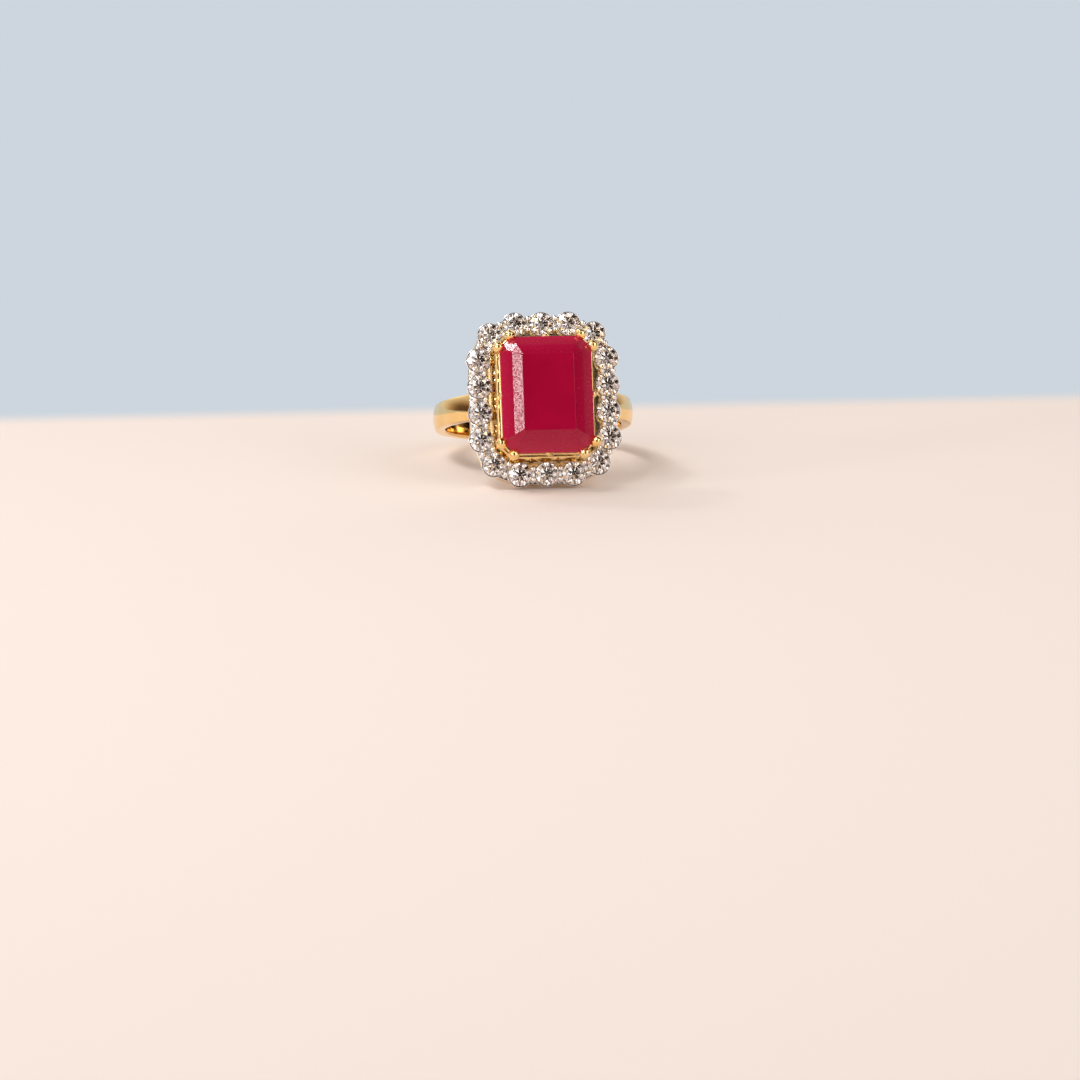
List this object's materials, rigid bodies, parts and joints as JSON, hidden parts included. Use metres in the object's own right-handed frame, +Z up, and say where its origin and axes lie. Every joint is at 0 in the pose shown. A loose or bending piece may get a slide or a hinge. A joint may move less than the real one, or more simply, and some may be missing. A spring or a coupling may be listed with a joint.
{
  "type": "cocktail ring",
  "caption": "Finger ring with a step-cut red stone in a claw basket, a halo of round clear stones in shared claws, and a domed tapering yellow-gold band.",
  "frame": {"origin": "centre of the ring's box on the surface that it lies on", "axes": "+X to the right along the halo's short side, +Y away from the viewer from head to back of band, +Z up; the face looks along -Y and tilts up"},
  "size_m": [0.0194, 0.0252, 0.0159],
  "materials": {
    "yellow_gold": "polished",
    "white_gold": "bright rhodium polish",
    "red_stone": "polished step-cut gem, nearly opaque",
    "clear_stone": "polished round brilliant"
  },
  "bodies": {
    "root": {"shank": "yellow_gold", "base_rail": "yellow_gold", "seat_rail": "yellow_gold", "gallery_rail": "yellow_gold", "gallery_bridges": "yellow_gold", "halo_collar": "yellow_gold", "prong_01": "yellow_gold", "prong_02": "yellow_gold", "prong_03": "yellow_gold", "prong_04": "yellow_gold", "prong_05": "yellow_gold", "prong_06": "yellow_gold", "prong_07": "yellow_gold", "prong_08": "yellow_gold", "post_top": "yellow_gold", "post_right": "yellow_gold", "post_bottom": "yellow_gold", "post_left": "yellow_gold", "center_stone": "red_stone", "halo_frame": "white_gold", "halo_claws_outer": "white_gold", "halo_claws_inner": "white_gold", "diamond_01": "clear_stone", "diamond_02": "clear_stone", "diamond_03": "clear_stone", "diamond_04": "clear_stone", "diamond_05": "clear_stone", "diamond_06": "clear_stone", "diamond_07": "clear_stone", "diamond_08": "clear_stone", "diamond_09": "clear_stone", "diamond_10": "clear_stone", "diamond_11": "clear_stone", "diamond_12": "clear_stone", "diamond_13": "clear_stone", "diamond_14": "clear_stone", "diamond_15": "clear_stone", "diamond_16": "clear_stone", "diamond_17": "clear_stone", "diamond_18": "clear_stone"}
  },
  "joints": []
}
